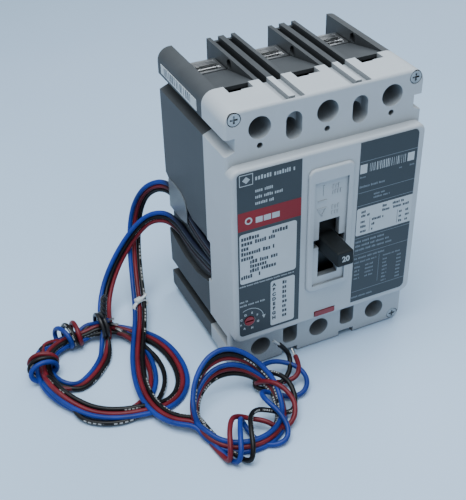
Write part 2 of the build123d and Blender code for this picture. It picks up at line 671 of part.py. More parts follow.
def make_tie(radius, thickness, width, at, direction):
    plane = Plane(origin=(at[0], y_at(at[1]), at[2]), z_dir=direction)
    ring = extrude(plane * (Circle(radius + thickness) - Circle(radius)), amount=width / 2, both=True)
    return ring & Pos(at[0], y_at(at[1]), 50) * Box(60, 60, 100)


def main():
    nodes = {
        "base": make_base(),
        "cover": make_cover(),
        "lead_strip": make_lead_strip(),
        "cover_screws": make_cover_screws(),
        "crossbar": make_crossbar(),
        "lever_pin": make_lever_pin(),
        "handle": make_handle(),
        "handle_yoke": make_yoke(),
        "operating_springs": make_springs(),
        "side_frames": make_side_frames(),
        "mechanism_pins": make_mechanism_pins(),
        "upper_links": make_upper_links(),
        "lower_links": make_lower_links(),
        "cradle": make_cradle(),
        "latch": make_latch(),
        "trip_bar": make_trip_bar(),
        "push_to_trip_button": make_button(),
        "button_spring": make_button_spring(),
        "trip_adjust_knob": make_knob(),
        "adjust_bar": make_adjust_bar(),
        "aux_switches": make_aux_switches(),
        "aux_lever": make_aux_lever(),
    }
    nodes.update(make_labels())
    lugs = [make_lug(pole) for pole in POLES]
    jaws = [make_jaw(pole) for pole in POLES]
    screws = [make_terminal_screw(pole) for pole in POLES]
    nodes["line_lugs"] = group(lugs)
    nodes["line_jaws"] = group(jaws)
    nodes["line_terminal_screws"] = group(screws)
    nodes["load_lugs"] = group(mirror_ends(lugs))
    nodes["load_jaws"] = group(mirror_ends(jaws))
    nodes["load_terminal_screws"] = group(mirror_ends(screws))
    nodes["line_conductors"] = group([make_line_conductor(pole) for pole in POLES])
    nodes["load_conductors"] = group([make_load_conductor(pole) for pole in POLES])
    nodes["fixed_contacts"] = group([make_fixed_contact(pole) for pole in POLES])
    nodes["moving_contacts"] = group([make_moving_contact(pole) for pole in POLES])
    nodes["shunts"] = group([make_shunt(pole) for pole in POLES])
    nodes["arc_chute_walls"] = group([wall for pole in POLES for wall in make_chute_walls(pole)])
    nodes["arc_chute_plates"] = group([leaf for pole in POLES for leaf in make_chute_plates(pole)])
    nodes["magnet_frames"] = group([make_magnet_frame(pole) for pole in POLES])
    nodes["magnet_cores"] = group([make_core(pole) for pole in POLES])
    nodes["magnet_coils"] = group([make_coil(pole) for pole in POLES])
    nodes["armature_pins"] = group([make_armature_pin(pole) for pole in POLES])
    for number, pole in enumerate(POLES, start=1):
        nodes[f"contact_arm_{number}"] = make_arm(pole)
        nodes[f"armature_{number}"] = make_armature(pole)
    for name, (bundle, places) in BUNDLE_LEADS.items():
        for colour, place in places.items():
            nodes[f"{name}_{colour}"] = make_lead(lead_route(bundle, place))
    nodes["coil_front"] = make_front_coil()
    nodes["coil_side"] = make_side_coil()
    nodes["wire_tie_white"] = make_tie(4.3, 0.9, 3.0, WHITE_TIE_AT, (-0.36, -0.9, -0.3))
    nodes["wire_tie_black"] = make_tie(5.0, 0.8, 2.6, BLACK_TIE_AT, (0.87, -0.5, 0))
    os.makedirs("parts", exist_ok=True)
    for name, shape in nodes.items():
        shape.label = name
        export_step(shape, f"parts/{name}.step")
    print(len(nodes), "nodes")


main()
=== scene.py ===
import json
import math
import random

import bmesh
import bpy
from mathutils import Matrix, Vector


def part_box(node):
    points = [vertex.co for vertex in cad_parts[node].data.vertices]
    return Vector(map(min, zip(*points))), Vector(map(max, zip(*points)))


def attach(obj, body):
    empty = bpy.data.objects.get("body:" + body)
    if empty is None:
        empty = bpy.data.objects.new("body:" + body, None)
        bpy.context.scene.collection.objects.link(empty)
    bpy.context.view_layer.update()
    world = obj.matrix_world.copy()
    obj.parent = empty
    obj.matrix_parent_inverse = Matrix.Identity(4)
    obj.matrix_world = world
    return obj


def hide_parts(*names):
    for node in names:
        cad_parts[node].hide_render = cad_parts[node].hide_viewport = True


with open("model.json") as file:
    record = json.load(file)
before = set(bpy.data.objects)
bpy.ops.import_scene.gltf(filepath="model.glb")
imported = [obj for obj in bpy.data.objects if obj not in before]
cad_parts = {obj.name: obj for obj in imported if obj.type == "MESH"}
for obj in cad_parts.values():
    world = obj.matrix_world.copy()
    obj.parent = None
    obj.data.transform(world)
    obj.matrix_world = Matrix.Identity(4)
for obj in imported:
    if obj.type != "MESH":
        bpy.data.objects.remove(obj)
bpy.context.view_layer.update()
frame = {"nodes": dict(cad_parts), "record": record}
nodes = frame["nodes"]

MM = 0.001
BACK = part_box("base")[1].y / MM            # the back face of the case, in millimetres
LABEL_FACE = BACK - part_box("nameplate_left")[0].y / MM
SIDE_LABEL_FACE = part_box("side_label")[0].x / MM
DISH_FACE = 86.0                           # depth of the dish round the handle
HANDLE_PIVOT = (44.0, 69.0)
HANDLE_REACH = 58.93                       # from the pivot to the handle's tip
HANDLE_REST = math.radians(3.5)
KNOB = (-44.0, 37.2)
LEAD_DIAMETER = 2.6                        # in millimetres; the CAD tubes are 2.4
LEAD_STEP = 2.7                            # from one lead to the next, side by side
MIX_UNDER, MIX_OVER, MIX_RESULT = 6, 7, 2  # the colour sockets of a Mix node
# The camera's azimuth, elevation and roll in degrees, its place in metres, and its lens in millimetres.
CAMERA_ANGLES = (-24.21, 35.76, -1.47)
CAMERA_PLACE = (-0.19555, -0.35323, 0.33574)
CAMERA_LENS = 65.76
SENSOR_WIDTH = 36


def at(x, depth, z):
    """A place given as x, depth in front of the back face, and height, in millimetres."""
    return Vector((x * MM, (BACK - depth) * MM, z * MM))


def lerp(a, b, share):
    return a + (b - a) * share


# ---- camera ----
def make_camera():
    azimuth, elevation, roll = (math.radians(angle) for angle in CAMERA_ANGLES)
    back = Vector((math.sin(azimuth) * math.cos(elevation), -math.cos(azimuth) * math.cos(elevation),
                   math.sin(elevation)))
    right = Vector((0, 0, 1)).cross(back).normalized()
    up = back.cross(right)
    level = Matrix((right, up, back)).transposed().to_4x4()
    camera = bpy.data.objects.new("camera", bpy.data.cameras.new("camera"))
    camera.data.lens = CAMERA_LENS
    camera.data.sensor_width = SENSOR_WIDTH
    camera.data.sensor_fit = "AUTO"
    camera.matrix_world = Matrix.Translation(CAMERA_PLACE) @ level @ Matrix.Rotation(roll, 4, "Z")
    bpy.context.scene.collection.objects.link(camera)
    bpy.context.scene.camera = camera


# ---- shader helpers ----
def shader(name, color=(0.8, 0.8, 0.8), roughness=0.5, **sockets):
    material = bpy.data.materials.new(name)
    material.use_nodes = True
    tree = material.node_tree
    surface = tree.nodes["Principled BSDF"]
    surface.inputs["Base Color"].default_value = (*color, 1)
    surface.inputs["Roughness"].default_value = roughness
    for socket, value in sockets.items():
        surface.inputs[socket.replace("_", " ")].default_value = value
    return material, tree, surface


def add_node(tree, kind, inputs=(), **settings):
    made = tree.nodes.new(kind)
    for key, value in settings.items():
        setattr(made, key, value)
    for key, value in dict(inputs).items():
        if isinstance(value, bpy.types.NodeSocket):
            tree.links.new(value, made.inputs[key])
        else:
            made.inputs[key].default_value = value
    return made


def object_noise(tree, scale, detail=4.0, stretch=(1, 1, 1)):
    """Noise laid out in the object's own space, in metres."""
    place = add_node(tree, "ShaderNodeTexCoord").outputs["Object"]
    mapping = add_node(tree, "ShaderNodeMapping", {"Vector": place, "Scale": stretch})
    inputs = {"Vector": mapping.outputs[0], "Scale": scale, "Detail": detail, "Roughness": 0.6}
    return add_node(tree, "ShaderNodeTexNoise", inputs)


def tint(tree, surface, factor, low, high, where=(0.35, 0.65)):
    ramp = add_node(tree, "ShaderNodeValToRGB", {"Fac": factor})
    ramp.color_ramp.elements[0].position, ramp.color_ramp.elements[1].position = where
    ramp.color_ramp.elements[0].color = (*low, 1)
    ramp.color_ramp.elements[1].color = (*high, 1)
    tree.links.new(ramp.outputs["Color"], surface.inputs["Base Color"])


def bump(tree, surface, height, strength, distance, under=None):
    made = add_node(tree, "ShaderNodeBump", {"Height": height, "Strength": strength, "Distance": distance})
    if under:
        tree.links.new(under.outputs[0], made.inputs["Normal"])
    tree.links.new(made.outputs[0], surface.inputs["Normal"])
    return made


def roughness_from(tree, surface, factor, low, high):
    spread = add_node(tree, "ShaderNodeMapRange", {"Value": factor, "To Min": low, "To Max": high})
    tree.links.new(spread.outputs[0], surface.inputs["Roughness"])


def lay_over(tree, surface, factor, shade):
    """Mixes a shade over the surface's colour, by a factor."""
    mixed = add_node(tree, "ShaderNodeMix", {"Factor": factor}, data_type="RGBA")
    tree.links.new(surface.inputs["Base Color"].links[0].from_socket, mixed.inputs[MIX_UNDER])
    mixed.inputs[MIX_OVER].default_value = (*shade, 1)
    tree.links.new(mixed.outputs[MIX_RESULT], surface.inputs["Base Color"])


def calculate(tree, kind, a, b=0.0):
    """One step of arithmetic on sockets or numbers."""
    return add_node(tree, "ShaderNodeMath", {0: a, 1: b}, operation=kind).outputs[0]


def paint_corner_shade(tree, surface, shade, reach, amount):
    """Painted shade: darkens the colour in corners and recesses, the more the closer other surfaces hem them
    in.
    """
    corners = add_node(tree, "ShaderNodeAmbientOcclusion", {"Distance": reach}, samples=6)
    share = add_node(tree, "ShaderNodeMapRange", {"Value": corners.outputs["AO"], "From Min": 0.1,
                                                  "From Max": 0.75, "To Min": amount, "To Max": 0.0})
    lay_over(tree, surface, share.outputs[0], shade)


def moulded(name, color, roughness=(0.42, 0.62), spread=0.12, grain=0.35, painted_shade=0.0, scuffs=0.0, **sockets):
    """Moulded plastic: a spark-eroded grain, slow drifts of tone, fine scuffs and painted shade in the
    corners.
    """
    material, tree, surface = shader(name, color, roughness[0], **sockets)
    drift = object_noise(tree, 38, 5)
    tint(tree, surface, drift.outputs["Fac"], tuple(c * (1 - spread) for c in color),
         tuple(min(1, c * (1 + spread)) for c in color), (0.3, 0.7))
    if scuffs:
        worn = object_noise(tree, 170, 6, stretch=(1, 1, 0.18))
        lighter = add_node(tree, "ShaderNodeMapRange", {"Value": worn.outputs["Fac"], "From Min": 0.63,
                                                        "From Max": 0.72, "To Max": scuffs})
        lay_over(tree, surface, lighter.outputs[0], tuple(min(1, c * 1.6 + 0.03) for c in color))
    # painted shade: a close, lighter darkening in tight corners and a wider, darker one in recesses
    if painted_shade:
        paint_corner_shade(tree, surface, tuple(c * 0.35 for c in color), 0.006, painted_shade)
        paint_corner_shade(tree, surface, tuple(c * 0.12 for c in color), 0.03, min(0.9, painted_shade * 1.4))
    roughness_from(tree, surface, drift.outputs["Fac"], *roughness)
    pits = object_noise(tree, 2600, 2)
    waves = object_noise(tree, 120, 2)
    under = bump(tree, surface, waves.outputs["Fac"], 0.12, 0.0004)
    bump(tree, surface, pits.outputs["Fac"], grain, 0.00006, under)
    return material


def metal(name, color, roughness=(0.25, 0.42), brushed=(1, 1, 1), spread=0.15, painted_shade=0.25):
    """Bare or plated metal: brushed or mottled, duller in patches and with painted shade in the corners."""
    material, tree, surface = shader(name, color, roughness[0], Metallic=1.0)
    patches = object_noise(tree, 150, 6)
    tint(tree, surface, patches.outputs["Fac"], tuple(c * (1 - spread) for c in color),
         tuple(min(1, c * (1 + spread)) for c in color))
    # painted shade in corners and recesses
    paint_corner_shade(tree, surface, tuple(c * 0.3 for c in color), 0.003, painted_shade)
    lines = object_noise(tree, 900, 4, stretch=brushed)
    roughness_from(tree, surface, lines.outputs["Fac"], *roughness)
    bump(tree, surface, lines.outputs["Fac"], 0.2, 0.00005)
    return material


def finish_nodes():
    """Gives every CAD node that shows the material of its slot."""
    # The sixth argument of a moulding or a metal, where given, is the strength of its painted shade in
    # corners and recesses.
    finishes = {
        "case_base": moulded("slate_moulding", (0.058, 0.064, 0.070), (0.48, 0.66), 0.16, 0.45, 0.55, 0.22,
                             Specular_IOR_Level=0.28),
        "case_cover": moulded("pale_grey_moulding", (0.455, 0.495, 0.53), (0.40, 0.55), 0.035, 0.3, 0.5,
                              0.06),
        "label": moulded("slate_film", (0.026, 0.034, 0.041), (0.40, 0.52), 0.08, 0.12),
        "side_label": moulded("white_film", (0.55, 0.60, 0.63), (0.38, 0.5), 0.05, 0.12),
        "clear_strip": moulded("frosted_strip", (0.20, 0.225, 0.24), (0.22, 0.34), 0.06, 0.15,
                               Transmission_Weight=0.35, IOR=1.46),
        "zinc_steel": metal("zinc_plate", (0.44, 0.45, 0.45), (0.3, 0.46), (1, 1, 1), 0.2, 0.7),
        "dark_steel": metal("oiled_steel", (0.17, 0.17, 0.18), (0.35, 0.55)),
        "spring_steel": metal("bright_spring", (0.48, 0.48, 0.50), (0.2, 0.35)),
        "handle": moulded("handle_moulding", (0.006, 0.008, 0.009), (0.46, 0.60), 0.2, 0.3, 0.2, 0.05,
                          Specular_IOR_Level=0.3),
        "black_plastic": moulded("black_moulding", (0.012, 0.012, 0.014), (0.4, 0.58), 0.2, 0.3),
        "red_plastic": moulded("red_moulding", (0.23, 0.012, 0.020), (0.28, 0.42), 0.12, 0.15, 0.4,
                               Specular_IOR_Level=0.55),
        "aluminium": metal("tinned_alloy", (0.74, 0.75, 0.76), (0.22, 0.4), (1, 0.08, 1), 0.1, 0.5),
        "copper": metal("bare_copper", (0.68, 0.34, 0.20), (0.25, 0.42), (1, 1, 0.1)),
        "contact": metal("silver_facing", (0.80, 0.79, 0.76), (0.2, 0.32)),
        "fibre": moulded("pressed_fibre", (0.44, 0.34, 0.22), (0.7, 0.85), 0.25, 0.8),
    }
    tinned_copper = metal("tinned_copper", (0.60, 0.59, 0.57), (0.25, 0.42), (1, 1, 0.1))
    for row in frame["record"]["subparts"]:
        finish = finishes.get(row["material_slot"])
        if row["node"] in ("line_conductors", "load_conductors"):
            finish = tinned_copper
        if finish:
            mesh = nodes[row["node"]].data
            mesh.materials.clear()
            mesh.materials.append(finish)


# ---- printed graphics ----
LETTERING = random.Random(11)


def on_label(across, up, lift):
    return at(across, LABEL_FACE + lift, up)


def on_side_label(across, up, lift):
    return Vector(((SIDE_LABEL_FACE - lift) * MM, (BACK - across) * MM, up * MM))


def in_dish(across, up, lift):
    return at(across, DISH_FACE + lift, up)


def bar(left, right, low, high):
    return [(left, low), (right, low), (right, high), (left, high)]


def rounded_bar(left, right, low, high, radius, corners=(1, 1, 1, 1)):
    """A rectangle with some corners rounded, from the lower left one anticlockwise."""
    outline = []
    centres = ((left, low, 1, 1), (right, low, -1, 1), (right, high, -1, -1), (left, high, 1, -1))
    for number, ((x, z, dx, dz), is_round) in enumerate(zip(centres, corners)):
        size = radius * is_round
        for step in range(7 if is_round else 1):
            angle = math.radians(180 + 90 * number + 15 * step)
            outline.append((x + size * (dx + math.cos(angle)), z + size * (dz + math.sin(angle))))
    return outline


def arc_band(centre, radius, width, start, end, steps=24):
    """A thin band along an arc, in pieces end to end."""
    bands = []
    for step in range(steps):
        a, b = (math.radians(lerp(start, end, (step + share) / steps)) for share in (0, 1))
        bands.append([(centre[0] + r * math.cos(t), centre[1] + r * math.sin(t))
                      for r, t in ((radius - width / 2, a), (radius + width / 2, a),
                                   (radius + width / 2, b), (radius - width / 2, b))])
    return bands


def dashes(left, right, middle, height, solid=0.72):
    """A line of wordless print: short upright blocks in groups, with no letter among them."""
    tall, low, tall_share = 0.5, 0.32, 0.3      # how high a block reaches, and how many are tall
    shortest_rest, gap, group_gap = 0.4, 0.06, 0.5
    blocks, x = [], left
    while x < right - height * shortest_rest:
        for _ in range(LETTERING.randint(3, 8)):
            width = height * LETTERING.uniform(0.42, 0.66)
            if x + width > right:
                break
            top = middle + height * (tall if LETTERING.random() < tall_share else low)
            blocks.append(bar(x, x + width * solid, middle - height * tall, top))
            x += width + height * gap
        x += height * group_gap
    return blocks


def mesh_data(name, mesh, material):
    data = bpy.data.meshes.new(name)
    mesh.to_mesh(data)
    mesh.free()
    data.materials.append(material)
    return data


def show(name, data, body="case"):
    """A new object in the scene and the body that it rides on."""
    piece = bpy.data.objects.new(name, data)
    bpy.context.scene.collection.objects.link(piece)
    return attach(piece, body)


def printed(name, outlines, place, material, slot, body="case", lift=(-0.02, 0.05)):
    """Thin closed plates of ink with the given outlines, on a label or a face."""
    mesh = bmesh.new()
    for outline in outlines:
        under, over = ([mesh.verts.new(place(u, v, height)) for u, v in outline] for height in lift)
        mesh.faces.new(under)
        mesh.faces.new(list(reversed(over)))
        for number in range(len(outline)):
            after = (number + 1) % len(outline)
            mesh.faces.new((under[after], under[number], over[number], over[after]))
    bmesh.ops.recalc_face_normals(mesh, faces=mesh.faces)
    return show(name, mesh_data(name, mesh, material), body)


def lettering(name, marks, size, basis, material, body="case", bold=0.03):
    """Raised letters or numbers of a dial: each mark is its text and the place of its middle."""
    meshes = bmesh.new()
    for text, middle in marks:
        curve = bpy.data.curves.new(name, "FONT")
        curve.body = text
        curve.size = size * MM
        curve.align_x, curve.align_y = "CENTER", "CENTER"
        curve.extrude = 0.03 * MM
        curve.offset = size * bold * MM
        shape = bpy.data.objects.new(name, curve)
        letters = bpy.data.meshes.new_from_object(shape)
        letters.transform(Matrix.Translation(middle) @ basis.to_4x4())
        meshes.from_mesh(letters)
        bpy.data.objects.remove(shape)
        bpy.data.curves.remove(curve)
        bpy.data.meshes.remove(letters)
    return show(name, mesh_data(name, meshes, material), body)


UPRIGHT = Matrix(((1, 0, 0), (0, 0, -1), (0, 1, 0)))     # text laid on a face that looks forward


def make_left_label(pale, white, dark, band):
    printed("left_label_band", [bar(-49.48, -16.02, 92.9, 103.1)], on_label, band, "red_plastic")
    printed("left_label_panels", [rounded_bar(-48.8, -18.2, 61.6, 91.0, 1.5),
                                  rounded_bar(-32.2, -18.7, 29.6, 58.2, 1.2)], on_label, white, "side_label")
    frame_lines = [bar(-48.4, -41.4, 123.0, 123.35), bar(-48.4, -41.4, 117.3, 117.65),
                   bar(-48.4, -48.05, 117.65, 123.0), bar(-41.75, -41.4, 117.65, 123.0),
                   [(-44.9, 118.5), (-42.9, 120.3), (-44.9, 122.1), (-46.9, 120.3)]]
    lines = dashes(-40.3, -18.6, 120.2, 2.2, 0.7)
    for right, middle in ((-31.0, 113.4), (-25.8, 110.0), (-30.4, 106.6)):
        lines += dashes(-40.3, right, middle, 1.6, 0.7)
    lines += dashes(-49.2, -18.8, 60.1, 0.8, 0.6) + dashes(-49.2, -44.6, 50.5, 1.1, 0.55)
    lines += dashes(-49.2, -34.6, 48.1, 1.1, 0.55)
    lines += arc_band(KNOB, 7.9, 0.28, 118, 8)
    arrow = ((7.0, 1.4), (8.0, -0.9), (8.9, 1.4))
    lines.append([(KNOB[0] + across, KNOB[1] + up) for across, up in arrow])
    printed("left_label_print", frame_lines + lines, on_label, pale, "side_label")
    title = arc_band((-43.9, 97.9), 1.55, 0.75, 0, 360, 32)
    title += [bar(left, right, 95.8, 98.9)
              for left, right in ((-40.2, -36.6), (-36.0, -32.2), (-31.6, -27.6))]
    printed("left_label_title", title, on_label, pale, "side_label", lift=(0.03, 0.09))
    rows = []
    for left, right, middle in ((-47.9, -38.3, 88.3), (-31.4, -22.8, 88.3), (-47.9, -29.2, 85.4),
                                (-48.0, -43.6, 82.5), (-48.0, -29.8, 79.6), (-48.1, -41.2, 76.7),
                                (-43.4, -27.8, 74.0), (-43.4, -32.8, 71.3), (-43.5, -28.4, 68.6),
                                (-48.3, -41.0, 65.6), (-38.8, -37.2, 65.6)):
        rows += dashes(left, right, middle, 2.2, 0.84)
    top_row, row_step = 55.6, 3.03
    for row in range(8):
        rows += dashes(-25.6, -22.6, top_row - row * row_step, 2.1, 0.84)
    printed("left_label_rows", rows, on_label, dark, "black_plastic", lift=(0.03, 0.09))
    lettering("left_label_row_letters", [(letter, on_label(-30.3, top_row - row * row_step, 0.07))
                                         for row, letter in enumerate("ABCDEFGH")], 2.7, UPRIGHT, dark,
              bold=0.065)
    letters = []
    for letter, angle in zip("ABCDEFGH", (-126, -164, 156, 117, 74, 30, -20, -74)):
        turned = math.radians(angle)
        across, up = KNOB[0] + 5.0 * math.cos(turned), KNOB[1] + 5.0 * math.sin(turned)
        letters.append((letter, on_label(across, up, 0.03)))
    lettering("dial_letters", letters, 1.7, UPRIGHT, pale, bold=0.05)


def make_right_label(pale, faint, white, dark):
    rules = [bar(15.7, 48.3, z - 0.12, z + 0.12) for z in (113.4, 95.8, 88.2, 68.6, 58.2, 34.3)]
    blocks = [bar(15.9, 19.8, 106.8, 111.8), bar(42.9, 46.8, 107.0, 111.7)]
    printed("right_label_blocks", blocks, on_label, white, "side_label")
    bars, x = [], 21.4
    while x < 41.6:
        width = LETTERING.choice((0.2, 0.3, 0.5))
        bars.append(bar(x, x + width, 107.0, 111.6))
        x += width + LETTERING.choice((0.5, 0.7, 1.0))
    printed("right_label_bars", bars, on_label, pale, "side_label")
    lines = dashes(16.1, 19.5, 104.7, 0.9) + dashes(38.4, 41.2, 104.6, 0.9) + dashes(44.6, 47.8, 104.6, 0.9)
    lines += dashes(16.2, 31.4, 99.3, 1.2) + dashes(24.8, 31.6, 93.3, 1.1) + dashes(24.8, 34.5, 91.3, 1.1)
    for right, middle in ((33.4, 66.4), (37.0, 63.8), (38.6, 61.2)):
        lines += dashes(16.1, right, middle, 1.3)
    lines += dashes(15.9, 34.7, 55.9, 1.1) + dashes(15.6, 28.8, 30.6, 1.1)
    lines += dashes(16.2, 29.6, 53.2, 1.0) + dashes(33.6, 44.4, 53.0, 1.0)
    for row in range(4):
        lines += dashes(16.5, 20.0, 50.2 - row * 2.4, 1.1) + dashes(23.0, 28.4, 50.2 - row * 2.4, 1.1)
    for row in range(7):
        lines += dashes(33.7, 36.8, 50.4 - row * 2.35, 1.1) + dashes(42.4, 45.6, 50.4 - row * 2.35, 1.1)
    printed("right_label_print", rules + lines + [bar(31.1, 31.3, 36.9, 54.4)], on_label, faint, "side_label")
    printed("right_label_panel", [rounded_bar(15.7, 48.38, 70.2, 86.6, 1.1, (1, 0, 0, 1))], on_label, white,
            "side_label")
    rows = dashes(18.3, 21.4, 84.2, 1.5, 0.84) + dashes(18.3, 23.6, 81.8, 1.5, 0.84)
    rows += dashes(30.6, 33.4, 84.6, 1.5, 0.84) + dashes(36.6, 44.0, 84.6, 1.5, 0.84)
    rows += dashes(30.6, 35.6, 82.1, 1.5, 0.84) + dashes(37.0, 46.6, 82.1, 1.5, 0.84)
    for row, middle in enumerate((78.3, 75.4, 72.5)):
        rows += dashes(18.2, 22.2, middle, 1.5, 0.84)
        rows += dashes(24.8, (32.6, 27.4, 26.2)[row], middle, 1.5, 0.84)
        rows += dashes(41.0, 43.2, middle, 1.5, 0.84) + dashes(44.8, 47.2, middle, 1.5, 0.84)
    rows += [bar(23.5, 23.7, 71.5, 79.6), bar(39.9, 40.1, 71.5, 79.6)]
    printed("right_label_rows", rows, on_label, dark, "black_plastic", lift=(0.03, 0.09))


def make_side_print(grey):
    bars, depth = [], 9.0
    while depth < 42:
        width = LETTERING.choice((0.6, 0.9, 1.3))
        bars.append(bar(depth, depth + width, 141.4, 145.8))
        depth += width + LETTERING.choice((0.8, 1.2, 1.9))
    printed("side_label_print", bars, on_side_label, grey, "black_plastic")


def make_raised_marks(cover):
    """The faint marks moulded in the dish above the handle: bars, an open triangle and rows of dashes."""
    marks = [bar(-4.2, -3.7, 100.6, 106.2), bar(-7.0, -2.0, 97.6, 98.0), bar(-7.2, -2.0, 93.2, 93.6)]
    marks += [[(-7.0, 93.2), (-6.6, 93.2), (-4.4, 89.4), (-4.6, 88.9)],
              [(-2.6, 93.2), (-2.2, 93.2), (-4.6, 88.9), (-4.8, 89.4)]]
    for middle in (104.4, 101.2, 92.8, 89.6):
        marks += dashes(1.0, 6.6, middle, 2.4, 0.4)
    printed("raised_dish_marks", marks, in_dish, cover, "case_cover", lift=(-0.05, 0.34))


def make_handle_number(pale):
    ahead = Vector((0, -math.cos(HANDLE_REST), math.sin(HANDLE_REST)))
    up = Vector((0, math.sin(HANDLE_REST), math.cos(HANDLE_REST)))
    basis = Matrix((Vector((1, 0, 0)), up, ahead)).transposed()
    middle = at(0, *HANDLE_PIVOT) + ahead * (HANDLE_REACH + 0.02) * MM
    lettering("handle_number", [("20", middle)], 4.2, basis, pale, "handle")


def make_graphics():
    white = moulded("panel_print", (0.50, 0.545, 0.575), (0.34, 0.46), 0.04, 0.1)
    pale = moulded("pale_print", (0.42, 0.47, 0.50), (0.36, 0.5), 0.08, 0.1)
    faint = moulded("faint_print", (0.17, 0.21, 0.245), (0.36, 0.5), 0.1, 0.1)
    dark = moulded("dark_print", (0.022, 0.028, 0.036), (0.36, 0.5), 0.15, 0.1)
    grey = moulded("grey_print", (0.055, 0.065, 0.075), (0.36, 0.5), 0.12, 0.1)
    band = moulded("dark_red_print", (0.235, 0.013, 0.020), (0.40, 0.55), 0.08, 0.1, Specular_IOR_Level=0.3)
    make_left_label(pale, white, dark, band)
    make_right_label(pale, faint, white, dark)
    make_side_print(grey)
    make_raised_marks(nodes["cover"].data.materials[0])
    make_handle_number(pale)


# ---- leads ----
# Each bundle's way from the case to its coil: places in x, depth and height, in millimetres, and the
# direction in which its leads lie side by side there.
BUNDLE_FRONT = [
    ((-50.7, 57.0, 62.0), (0, 0, 1)), ((-50.7, 46.0, 62.3), (0, 0, 1)), ((-50.8, 34.0, 64.2), (0, 0, 1)),
    ((-50.8, 22.0, 67.6), (0, 0, 1)), ((-50.9, 11.0, 70.2), (0, 0, 1)), ((-51.0, 2.4, 71.4), (0, 0, 1)),
    ((-54.6, -5.4, 70.6), (-0.2, 0, 1)), ((-59.8, -12.0, 65.4), (-0.6, 0, 0.85)),
    ((-64.0, -16.4, 56.2), (-0.95, 0, 0.35)), ((-67.4, -16.6, 45.4), (-1, 0, 0.2)),
    ((-70.4, -12.6, 34.6), (-1, 0, 0.2)), ((-73.2, -5.6, 25.0), (-1, 0, 0.2)),
    ((-76.0, 3.6, 17.2), (-1, 0, 0.1)), ((-78.9, 14.0, 11.6), (-1, -0.2, 0)),
    ((-82.8, 25.0, 7.8), (-0.9, -0.4, 0)), ((-87.8, 36.0, 5.4), (-0.9, -0.4, 0)),
    ((-92.8, 47.0, 4.4), (-0.93, -0.36, 0)), ((-96.8, 58.6, 4.2), (-0.96, -0.25, 0)),
    ((-99.6, 70.6, 4.4), (-1, 0, 0)), ((-100.4, 82.4, 4.2), (-1, 0.1, 0)),
    ((-98.6, 93.4, 4.4), (-0.9, 0.42, 0)), ((-93.4, 102.8, 4.8), (-0.7, 0.7, 0)),
    ((-84.8, 109.2, 5.8), (-0.45, 0.9, 0)),
]
BUNDLE_SIDE = [
    ((-50.7, 57.0, 53.0), (0, 0, 1)), ((-50.7, 46.0, 51.4), (0, 0, 1)), ((-50.8, 34.0, 50.2), (0, 0, 1)),
    ((-50.8, 22.0, 50.6), (0, 0, 1)), ((-51.0, 10.4, 51.8), (0, 0, 1)), ((-54.2, 0.0, 52.8), (0, 0, 1)),
    ((-61.4, -6.6, 50.2), (-0.2, 0, 0.98)), ((-69.0, -8.4, 43.8), (-0.5, 0, 0.87)),
    ((-76.8, -7.8, 35.6), (-0.65, 0, 0.76)), ((-84.8, -5.4, 26.6), (-0.7, 0, 0.7)),
    ((-91.6, -1.2, 17.6), (-0.8, -0.2, 0.5)), ((-97.0, 6.0, 11.0), (-1, 0, 0.2)),
    ((-100.4, 15.6, 8.0), (-1, 0, 0)),
]
# What each front lead does after its two round turns: over the coil, round it and out to its free end.
FRONT_ENDS = {
    "blue": [(-84, 112, 4), (-82, 124, 2.5), (-79, 134, 1.6), (-77, 140, 3), (-75, 140.5, 8),
             (-72, 133, 12.5), (-68, 124, 12), (-65, 118.5, 8), (-63.5, 119, 3), (-62.5, 127, 1.3),
             (-60, 133.5, 1.5), (-55, 137, 2), (-49, 137, 3), (-45.5, 132, 5), (-46.5, 124.5, 9),
             (-50, 117, 11.5), (-50, 110, 10.5), (-45.5, 106, 6.5), (-39, 108, 3), (-33, 112, 2),
             (-26, 112.5, 3), (-21, 107, 5), (-21.5, 99, 7), (-28, 92.5, 8.5), (-36, 90.5, 10),
             (-43, 93, 10.5)],
    "red": [(-84, 109, 3.5), (-83, 120, 2), (-81, 131, 1.5), (-80, 138, 3), (-78.5, 136, 9),
            (-75, 127, 12.5), (-70.5, 120, 12), (-65.5, 117.5, 8.5), (-60, 119.5, 6), (-54, 124, 6),
            (-49, 129, 3), (-44, 129.5, 3), (-38.5, 126, 5), (-36, 120, 8.5), (-38, 112.5, 11.5),
            (-42, 106, 12), (-46, 101, 9), (-47, 97.5, 5), (-42, 96.5, 3), (-35, 101, 3.5),
            (-27, 104, 5.5), (-21.5, 99.5, 7.5), (-20.5, 92, 9)],
    "black": [(-82, 106, 4), (-80, 117, 2.5), (-77, 128, 1.5), (-73, 138, 1.5), (-70.5, 142.5, 4),
              (-68, 139, 9), (-65.5, 131, 12.5), (-62, 123, 12.5), (-56.5, 118.5, 10), (-50, 119, 7),
              (-43, 121, 3.5), (-37.5, 122.5, 4), (-34.2, 118, 8), (-33.5, 110, 11.5), (-36, 103, 12),
              (-40.5, 97.5, 10.5), (-45.5, 95.5, 7), (-48, 98.5, 3.5), (-43, 102, 2.5), (-36, 103, 4),
              (-28.5, 100, 6), (-24, 93.5, 8.5), (-24.5, 89.5, 13), (-28.5, 89, 17.5)],
}
TURN_POINTS = 16
